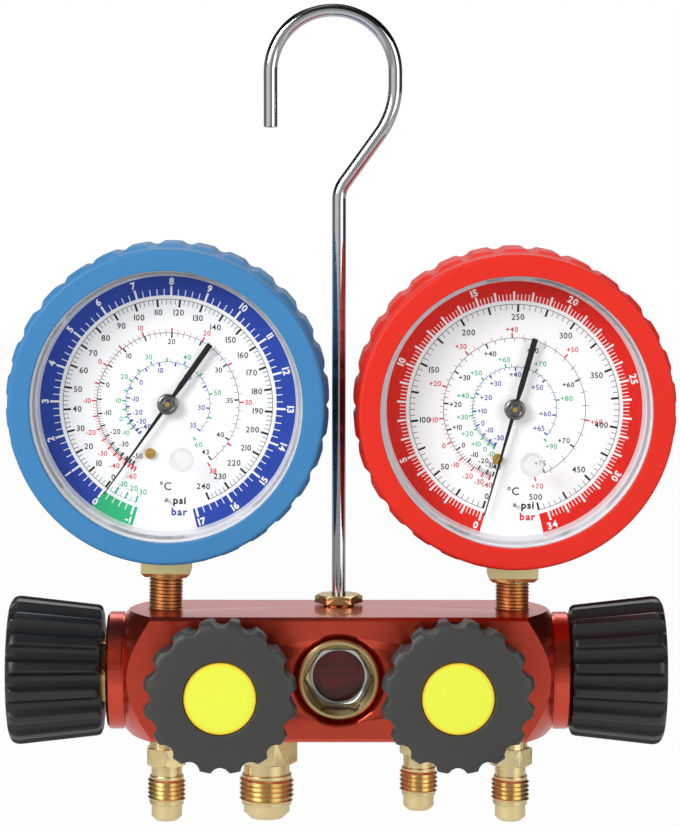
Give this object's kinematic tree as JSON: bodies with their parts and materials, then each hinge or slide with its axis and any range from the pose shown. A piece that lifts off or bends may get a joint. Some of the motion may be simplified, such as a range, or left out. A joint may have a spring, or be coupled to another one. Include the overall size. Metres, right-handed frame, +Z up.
{
  "type": "refrigerant manifold gauge",
  "caption": "Hand-held refrigerant manifold: red valve block with fluted knobs, booted blue and red dial gauges, sight glass, brass flare ports and a chromed hanging hook.",
  "frame": {"origin": "the hook's seat, the highest point inside its loop", "axes": "+Z up along the hook rod, -Y out of the dials towards the user, +X to the right as the user looks at the dials"},
  "size_m": [0.1915, 0.0701, 0.2366],
  "materials": {
    "anodised_red": "bright red anodised, brushed",
    "chromed_steel": "polished chrome plate",
    "brass": "turned, bare",
    "sight_glass": "clear",
    "zinc_steel": "zinc plated",
    "grey_knob": "satin moulded, dark grey",
    "black_knob": "satin moulded, black",
    "yellow_disc": "gloss yellow",
    "blue_disc": "gloss blue",
    "red_disc": "gloss red",
    "blue_rubber": "satin moulded",
    "red_rubber": "satin moulded",
    "case_black": "black paint",
    "bezel_white": "white moulded",
    "clear_lens": "clear acrylic",
    "plug_clear": "translucent",
    "dial_white": "white, printed scales",
    "pointer_black": "black paint",
    "bronze_tube": "drawn bronze"
  },
  "bodies": {
    "manifold": {"manifold_block": "anodised_red", "hook_nut": "brass", "sight_glass_ring": "brass", "sight_glass_window": "sight_glass", "low_side_port": "brass", "vacuum_port": "brass", "charging_port": "brass", "high_side_port": "brass", "valve_bonnets": "brass", "low_gauge_boot": "blue_rubber", "low_gauge_case": "case_black", "low_gauge_bezel": "bezel_white", "low_gauge_lens": "clear_lens", "low_gauge_dial": "dial_white", "low_gauge_socket": "brass", "low_gauge_bourdon_tube": "bronze_tube", "low_gauge_movement_frame": "brass", "high_gauge_boot": "red_rubber", "high_gauge_case": "case_black", "high_gauge_bezel": "bezel_white", "high_gauge_lens": "clear_lens", "high_gauge_dial": "dial_white", "high_gauge_socket": "brass", "high_gauge_bourdon_tube": "bronze_tube", "high_gauge_movement_frame": "brass"},
    "hanging_hook": {"hook": "chromed_steel"},
    "low_plug": {"low_valve_plug": "brass"},
    "low_handle": {"low_valve_stem": "brass", "low_valve_knob": "black_knob", "low_valve_disc": "blue_disc", "low_valve_knob_screw": "zinc_steel"},
    "high_plug": {"high_valve_plug": "brass"},
    "high_handle": {"high_valve_stem": "brass", "high_valve_knob": "black_knob", "high_valve_disc": "red_disc", "high_valve_knob_screw": "zinc_steel"},
    "vacuum_plug": {"vacuum_valve_plug": "brass"},
    "vacuum_handle": {"vacuum_valve_stem": "brass", "vacuum_valve_knob": "grey_knob", "vacuum_valve_disc": "yellow_disc", "vacuum_valve_knob_screw": "zinc_steel"},
    "charging_plug": {"charging_valve_plug": "brass"},
    "charging_handle": {"charging_valve_stem": "brass", "charging_valve_knob": "grey_knob", "charging_valve_disc": "yellow_disc", "charging_valve_knob_screw": "zinc_steel"},
    "low_pointer": {"low_gauge_pointer": "pointer_black", "low_gauge_pinion": "brass"},
    "low_sector": {"low_gauge_sector": "brass"},
    "low_link": {"low_gauge_link": "brass"},
    "low_zero_screw": {"low_gauge_zero_screw": "brass"},
    "low_lens_plug": {"low_gauge_lens_plug": "plug_clear"},
    "high_pointer": {"high_gauge_pointer": "pointer_black", "high_gauge_pinion": "brass"},
    "high_sector": {"high_gauge_sector": "brass"},
    "high_link": {"high_gauge_link": "brass"},
    "high_zero_screw": {"high_gauge_zero_screw": "brass"},
    "high_lens_plug": {"high_gauge_lens_plug": "plug_clear"}
  },
  "joints": [
    {"name": "hook_swivel", "type": "hinge", "parent": "manifold", "child": "hanging_hook", "pos_m": [0.0018, 0, -0.1706], "axis": [0, 0, 1], "continuous": true},
    {"name": "low_valve_lift", "type": "slide", "parent": "manifold", "child": "low_plug", "axis": [-1, 0, 0], "range_m": [-0.0013, 0.0012]},
    {"name": "low_valve_turn", "type": "hinge", "parent": "low_plug", "child": "low_handle", "pos_m": [-0.0649, -0.009, -0.1886], "axis": [-1, 0, 0], "range_deg": [-468, 432]},
    {"name": "high_valve_lift", "type": "slide", "parent": "manifold", "child": "high_plug", "axis": [1, 0, 0], "range_m": [0, 0.0025]},
    {"name": "high_valve_turn", "type": "hinge", "parent": "high_plug", "child": "high_handle", "pos_m": [0.0685, -0.009, -0.1886], "axis": [1, 0, 0], "range_deg": [0, 900]},
    {"name": "vacuum_valve_lift", "type": "slide", "parent": "manifold", "child": "vacuum_plug", "axis": [0, -1, 0], "range_m": [0, 0.0025]},
    {"name": "vacuum_valve_turn", "type": "hinge", "parent": "vacuum_plug", "child": "vacuum_handle", "pos_m": [-0.0311, -0.027, -0.1886], "axis": [0, -1, 0], "range_deg": [0, 900]},
    {"name": "charging_valve_lift", "type": "slide", "parent": "manifold", "child": "charging_plug", "axis": [0, -1, 0], "range_m": [0, 0.0025]},
    {"name": "charging_valve_turn", "type": "hinge", "parent": "charging_plug", "child": "charging_handle", "pos_m": [0.0347, -0.027, -0.1886], "axis": [0, -1, 0], "range_deg": [0, 900]},
    {"name": "low_pointer_turn", "type": "hinge", "parent": "manifold", "child": "low_pointer", "pos_m": [-0.047, -0.019, -0.1103], "axis": [0, 1, 0], "range_deg": [-18.1, 308.7], "stiffness_Nm_per_rad": 0.002},
    {"name": "low_sector_swing", "type": "hinge", "parent": "manifold", "child": "low_sector", "pos_m": [-0.03893, -0.0117, -0.12498], "axis": [0, 1, 0], "range_deg": [-36.02, 2.12]},
    {"name": "low_link_swing", "type": "hinge", "parent": "low_sector", "child": "low_link", "pos_m": [-0.03259, -0.0128, -0.12801], "axis": [0, 1, 0], "range_deg": [-2.88, 49.03]},
    {"name": "low_zero_screw_turn", "type": "hinge", "parent": "manifold", "child": "low_zero_screw", "pos_m": [-0.0521, -0.018, -0.1245], "axis": [0, -1, 0], "range_deg": [-180, 180]},
    {"name": "low_lens_plug_pull", "type": "slide", "parent": "manifold", "child": "low_lens_plug", "axis": [0, -1, 0], "range_m": [0, 0.006]},
    {"name": "high_pointer_turn", "type": "hinge", "parent": "manifold", "child": "high_pointer", "pos_m": [0.0519, -0.019, -0.1117], "axis": [0, 1, 0], "range_deg": [0, 326.1], "stiffness_Nm_per_rad": 0.002},
    {"name": "high_sector_swing", "type": "hinge", "parent": "manifold", "child": "high_sector", "pos_m": [0.06033, -0.0117, -0.12618], "axis": [0, 1, 0], "range_deg": [-38.05, 0.01]},
    {"name": "high_link_swing", "type": "hinge", "parent": "high_sector", "child": "high_link", "pos_m": [0.06674, -0.0128, -0.12905], "axis": [0, 1, 0], "range_deg": [-0.01, 51.79]},
    {"name": "high_zero_screw_turn", "type": "hinge", "parent": "manifold", "child": "high_zero_screw", "pos_m": [0.04715, -0.018, -0.12602], "axis": [0, -1, 0], "range_deg": [-180, 180]},
    {"name": "high_lens_plug_pull", "type": "slide", "parent": "manifold", "child": "high_lens_plug", "axis": [0, -1, 0], "range_m": [0, 0.006]}
  ],
  "couplings": [
    {"joint": "low_valve_lift", "follows": "low_valve_turn", "m_per_rad": 0.00015915},
    {"joint": "high_valve_lift", "follows": "high_valve_turn", "m_per_rad": 0.00015915},
    {"joint": "vacuum_valve_lift", "follows": "vacuum_valve_turn", "m_per_rad": 0.00015915},
    {"joint": "charging_valve_lift", "follows": "charging_valve_turn", "m_per_rad": 0.00015915},
    {"joint": "low_sector_swing", "follows": "low_pointer_turn", "ratio": -0.11667},
    {"joint": "low_link_swing", "follows": "low_pointer_turn", "ratio": 0.1588},
    {"joint": "high_sector_swing", "follows": "high_pointer_turn", "ratio": -0.11667},
    {"joint": "high_link_swing", "follows": "high_pointer_turn", "ratio": 0.1588}
  ]
}
